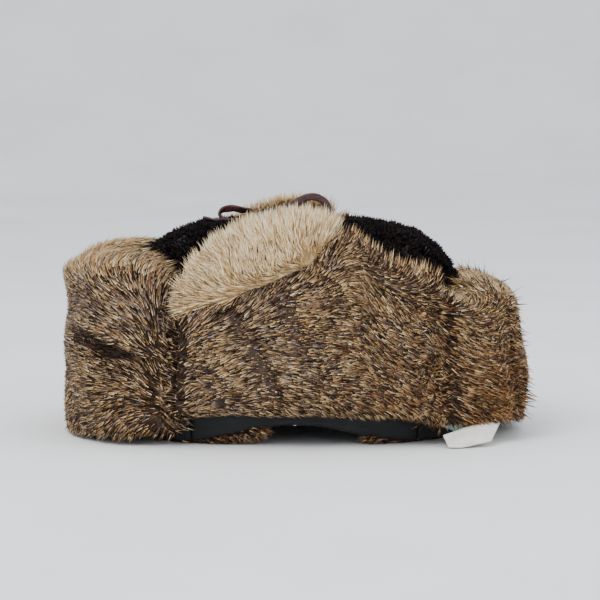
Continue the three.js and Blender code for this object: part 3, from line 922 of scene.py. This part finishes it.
def rim_tufts():
    """Loose brown fur that shows under the rim on both sides of the arch."""
    rng = np.random.default_rng(15)
    for name, low, high, level in (("front", -76, -22, 3), ("back", 48, 98, 4)):
        for label, side in SIDES.items():
            count = TUFT_HAIRS
            x = rng.uniform(low, high, count)
            y = side * (plan_half_width(x, 0) - rng.uniform(0, 6, count))
            root = np.stack([x, y, hem_bottom(x) + level * rng.random(count)], axis=-1)
            lean = np.where(low < 0, 1.0, -1.0) * rng.uniform(0.2, 1.2, count)
            spread = side * rng.uniform(0, 0.5, count)
            flow = np.stack([lean, spread, rng.uniform(-0.9, 0.05, count)], axis=-1)
            out = np.tile([0.0, side, 0.3], (count, 1))
            tips = pick(rng, np.tile(WARM + GREY * 0.5, (count, 1)))
            grow(f"{label}_{name}_tuft", "crown", HAIR, root, flow, unit(out), rng.uniform(7, 12, count),
                 rng.uniform(0.5, 0.9, count), 0.45, rng.uniform(0.1, 0.6, count),
                 pick(rng, np.tile(ROOTS, (count, 1))), tips)


# ------------------------------------------------------------------ laces and labels
def catmull(points, count):
    """Evenly spaced points on a smooth curve through points, and its length."""
    points = np.asarray(points, float)
    ends = np.vstack([2 * points[0] - points[1], points, 2 * points[-1] - points[-2]])
    fine = []
    for p0, p1, p2, p3 in zip(ends, ends[1:], ends[2:], ends[3:]):
        t = np.linspace(0, 1, 24, endpoint=False)[:, None]
        fine.append(0.5 * (2 * p1 + (p2 - p0) * t + (2 * p0 - 5 * p1 + 4 * p2 - p3) * t**2
                           + (3 * p1 - p0 - 3 * p2 + p3) * t**3))
    fine = np.vstack(fine + [points[-1:]])
    reach = np.concatenate([[0], np.cumsum(np.linalg.norm(np.diff(fine, axis=0), axis=1))])
    even = np.linspace(0, reach[-1], count)
    return np.stack([np.interp(even, reach, fine[:, k]) for k in range(3)], axis=-1), reach[-1]


def thong(name, route, body):
    """A flat lace along a route, turned on edge in the loops that stand above the crown."""
    line, length = catmull(route, 170)
    ahead = unit(np.gradient(line, axis=0))
    across = np.zeros_like(line)
    across[0] = (1, 0, 0)
    for k in range(len(line)):
        before = across[max(0, k - 1)]
        across[k] = unit(before - ahead[k] * before.dot(ahead[k]))
    above = np.cross(ahead, across)
    twist = math.radians(65) * smooth(line[:, 2:], 138, 143)
    cos, sin = np.cos(twist), np.sin(twist)
    across, above = across * cos + above * sin, above * cos - across * sin
    flat, tall = rounded(np.linspace(0, 2 * np.pi, 16, endpoint=False), 0.6)
    share = np.linspace(0, 1, len(line))
    ragged = 1 + 0.06 * waves(share[:, None] * length, 9, 91)
    taper = np.where(share > 0.965, mix(1, 0.45, (share - 0.965) / 0.035), 1)
    wide = (LACE_WIDTH / 2 * ragged * taper)[:, None, None]
    curl = 0.35 * waves(share[:, None] * length, 14, 92)[:, None] * (flat**2)[None, :]
    sections = (line[:, None, :] + across[:, None, :] * flat[None, :, None] * wide
                + above[:, None, :] * (tall[None, :] * LACE_THICKNESS / 2 + curl)[:, :, None])
    lace = hoop(name + "_thong", sections, THONG, closed=False)
    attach(lace, body)
    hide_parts(name)


def bow():
    """The turn of thong round the crossing, arched over the strands that pass through it."""

    def face(thickness):
        def surface(u, v):
            swing = mix(-1, 1, u)
            lift = KNOT_RISE * np.sqrt(clamp(1 - swing**4)) + thickness * (1 - swing**8)
            edge = 0.35 * np.sin(np.pi * v) * (thickness > 0)
            x = KNOT_X + mix(-0.5, 0.5, v) * (KNOT_WIDTH + 0.6 * np.sin(5 * u))
            return np.stack([x, swing * (KNOT_HALF_SPAN + thickness), KNOT_BASE + lift + edge], axis=-1)

        return surface

    knot = slab("bow_turn", 48, 10, face(LACE_THICKNESS), face(0), THONG)
    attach(knot, "left_lace_tie")
    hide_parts("bow_knot")
    return knot


def rounded(angle, power):
    """A squared-off circle: the across and up shares at each angle."""
    cos, sin = np.cos(angle), np.sin(angle)
    return np.sign(cos) * np.abs(cos) ** power, np.sign(sin) * np.abs(sin) ** power


def tab(name, side):
    """The leather patch that a lace is sewn to, with rounded corners and a raised edge."""
    reach = (HALF_WIDTH + BACKING_OFFSET) * float(profile(TAB_HEIGHT, EAR_LEAN)) - 2.6
    tilt = side * math.radians(TAB_TILT)
    wide, tall = rounded(np.linspace(0, 2 * np.pi, 48, endpoint=False), 0.4)
    rings = []
    for share, depth in TAB_PROFILE:
        rise = share * TAB_HALF_HEIGHT * tall
        y = depth * math.cos(tilt) - rise * math.sin(tilt)
        z = depth * math.sin(tilt) + rise * math.cos(tilt)
        x = share * TAB_HALF_WIDTH * wide + TAB_X
        rings.append(np.stack([x, y + side * reach, z + TAB_HEIGHT], axis=-1))
    patch = hoop(f"{name}_tab_patch", np.array(rings), THONG, closed=False)
    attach(patch, f"{name}_ear_flap")
    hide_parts(f"{name}_lace_tab")


def label(name, node, stations, look, slot):
    """A strip of cloth between two edges given as (upper, lower) stations, with a slight ripple."""
    upper = np.array([s[0] for s in stations], float)
    lower = np.array([s[1] for s in stations], float)
    steps = np.linspace(0, 1, len(stations))

    def face(depth):
        def surface(u, v):
            a = np.stack([np.interp(u, steps, upper[:, k]) for k in range(3)], axis=-1)
            b = np.stack([np.interp(u, steps, lower[:, k]) for k in range(3)], axis=-1)
            points = a + (b - a) * v[:, None]
            ripple = 0.5 * np.sin(7 * u + 2.2 * v) * np.sin(np.pi * u)
            return points + np.array([-0.1, 0.5, -0.75]) * (depth + 0.15 + ripple)[:, None]

        return surface

    cloth = slab(name, 40, 14, face(0), face(LABEL_THICKNESS), look)
    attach(cloth, "crown")
    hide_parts(node)
    return cloth


# ------------------------------------------------------------------ camera, light and floor
def camera():
    eye = bpy.data.objects.new("camera", bpy.data.cameras.new("camera"))
    bpy.context.collection.objects.link(eye)
    rise = math.radians(CAMERA_RISE)
    eye.location = Vector(CAMERA_AIM) + Vector((0, -math.cos(rise), math.sin(rise))) * CAMERA_DISTANCE
    eye.rotation_euler = (math.pi / 2 - rise, 0, 0)
    eye.data.angle = 2 * math.atan(VIEW_HALF_WIDTH / CAMERA_DISTANCE)
    bpy.context.scene.camera = eye


def paper_floor():
    """A round sheet of paper, flat under the hat and bent up all round it."""
    paper = textured("paper", [0xECEBE8, 0xF2F1EF, 0xF6F5F3], 3, 0.9, 0.1)
    bend = np.linspace(0, np.pi / 2, 16)
    reach = np.concatenate([[1], FLOOR_REACH + FLOOR_BEND * np.sin(bend)])
    height = np.concatenate([[0], FLOOR_BEND * (1 - np.cos(bend))]) - FLOOR_DROP
    angle = np.linspace(0, 2 * np.pi, 64, endpoint=False)[:, None]
    sections = np.stack([reach * np.cos(angle), reach * np.sin(angle), height + 0 * angle], axis=-1)
    index = np.arange(len(angle) * len(reach)).reshape(len(angle), len(reach))
    after = np.roll(index, -1, axis=0)
    quads = np.stack([index[:, :-1], after[:, :-1], after[:, 1:], index[:, 1:]], axis=-1).reshape(-1, 4)
    quad_object("floor", sections.reshape(-1, 3), quads, paper)


def light():
    world = bpy.data.worlds.new("world")
    bpy.context.scene.world = world
    world.use_nodes = True
    sky = world.node_tree.nodes["Background"]
    sky.inputs["Color"].default_value = (0.83, 0.88, 0.97, 1)
    sky.inputs["Strength"].default_value = 1.4
    for name, (place, size, power) in LAMPS.items():
        lamp = bpy.data.objects.new(name, bpy.data.lights.new(name, "AREA"))
        bpy.context.collection.objects.link(lamp)
        lamp.location = place
        lamp.data.size = size
        lamp.data.energy = power
        lamp.rotation_euler = (Vector((0, 0, 0.06)) - Vector(place)).to_track_quat("-Z", "Y").to_euler()


camera()
paper_floor()
light()
knot = bow()
thong("left_lace", LEFT_LACE, "left_lace_tie")
tab("left", SIDES["left"])
ear_flap("left", SIDES["left"])
thong("right_lace", RIGHT_LACE, "right_lace_tie")
tab("right", SIDES["right"])
ear_flap("right", SIDES["right"])
front_flap()
for name, side in SIDES.items():
    corner(name, side)
nape_flap()
crown()
rim()
rim_tufts()
maker_satin = label("maker_satin", "maker_label", MAKER_LABEL, LABEL_WHITE, "label_white")
size_satin = label("size_satin", "size_label", SIZE_LABEL, LABEL_MINT, "label_mint")
